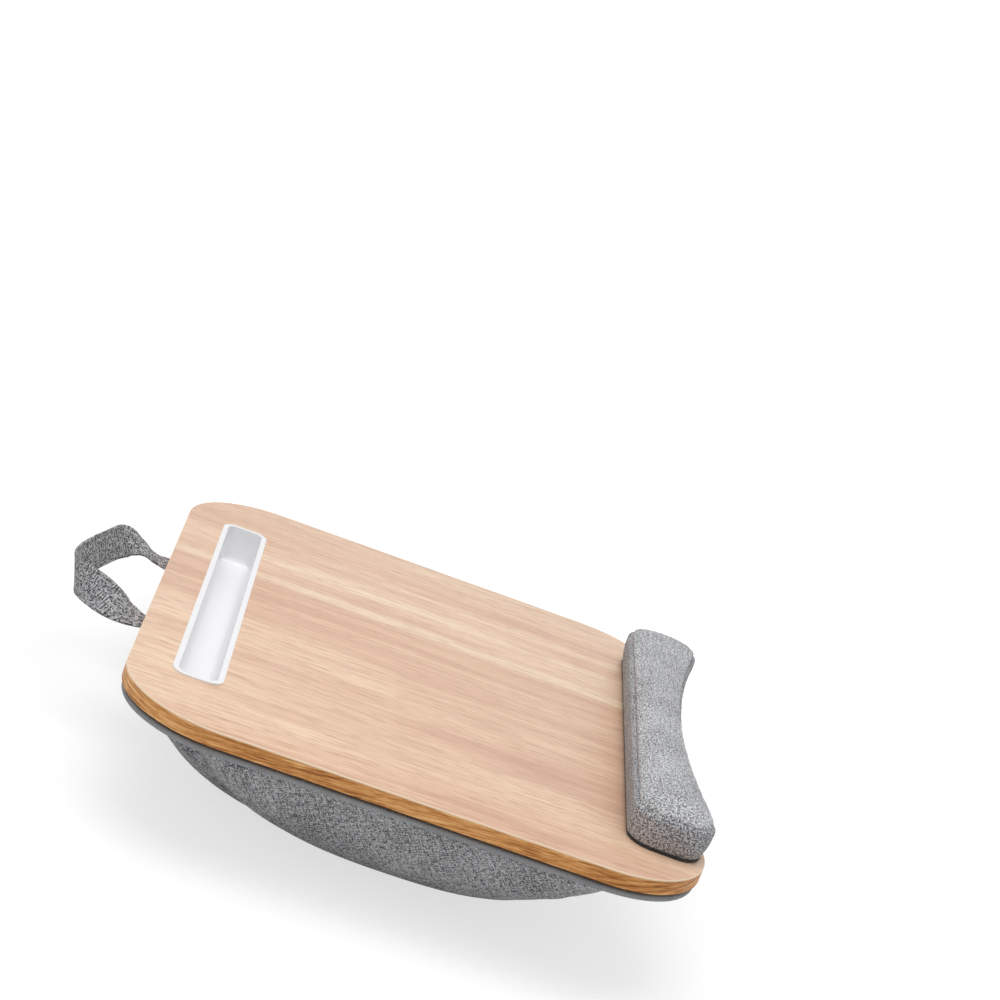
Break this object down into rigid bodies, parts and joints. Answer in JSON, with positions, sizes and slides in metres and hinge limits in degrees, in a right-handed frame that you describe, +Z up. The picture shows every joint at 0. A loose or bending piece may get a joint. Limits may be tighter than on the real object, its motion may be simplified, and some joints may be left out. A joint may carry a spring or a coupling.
{
  "type": "lap desk",
  "caption": "Cushioned lap desk: a wood-grain board with a recessed phone and pen tray, a padded wrist rest, a cloth carry handle and a sewn bolster cushion underneath.",
  "frame": {"origin": "on the surface that the cushion rests on, under the middle of the whole desk, strap and wrist rest included", "axes": "+Z up out of the board's top, +Y from the user's edge and the wrist rest towards the tray and the carry handle, +X to the user's right"},
  "size_m": [0.43, 0.4284, 0.1171],
  "materials": {
    "board_core_wood": "raw fibreboard",
    "top_wood_grain": "satin wood-grain laminate, grain front to back",
    "backing_sheet": "plain backing laminate",
    "edge_wood_grain": "satin wood-grain edge band",
    "tray_white": "glossy white moulded plastic",
    "base_cloth": "plain dark lining cloth",
    "cover_cloth": "heathered grey linen-look weave",
    "side_cloth": "heathered grey linen-look weave, cut on the bias",
    "fibre_filling": "loose fibre",
    "binding_ribbon": "ribbed grey tape with pale topstitching",
    "hook_tape": "hook tape",
    "loop_tape": "loop tape",
    "strap_cloth": "heathered grey weave, folded and stitched",
    "wrist_cloth": "light heathered grey weave",
    "foam": "open-cell foam",
    "wrist_base_sheet": "thin black sheet",
    "adhesive_sheet": "double-sided adhesive"
  },
  "bodies": {
    "root": {"board_core": "board_core_wood", "top_laminate": "top_wood_grain", "base_laminate": "backing_sheet", "edge_band": "edge_wood_grain", "tray_insert": "tray_white", "cushion_base_panel": "base_cloth", "cushion_back_panel": "cover_cloth", "cushion_front_panel": "cover_cloth", "cushion_left_panel": "side_cloth", "cushion_right_panel": "side_cloth", "cushion_filling": "fibre_filling", "binding_tape": "binding_ribbon", "hook_strips": "hook_tape", "loop_strips": "loop_tape", "handle_tails": "strap_cloth", "wrist_rest_top_panel": "wrist_cloth", "wrist_rest_side_band": "wrist_cloth", "wrist_rest_foam": "foam", "wrist_rest_base": "wrist_base_sheet", "wrist_rest_adhesive": "adhesive_sheet"},
    "handle": {"handle_strap": "strap_cloth"}
  },
  "joints": [
    {"name": "handle_swing", "type": "hinge", "parent": "root", "child": "handle", "pos_m": [0, 0.15854, 0.0753], "axis": [1, 0, 0], "range_deg": [-85, 80], "stiffness_Nm_per_rad": 0.05}
  ]
}
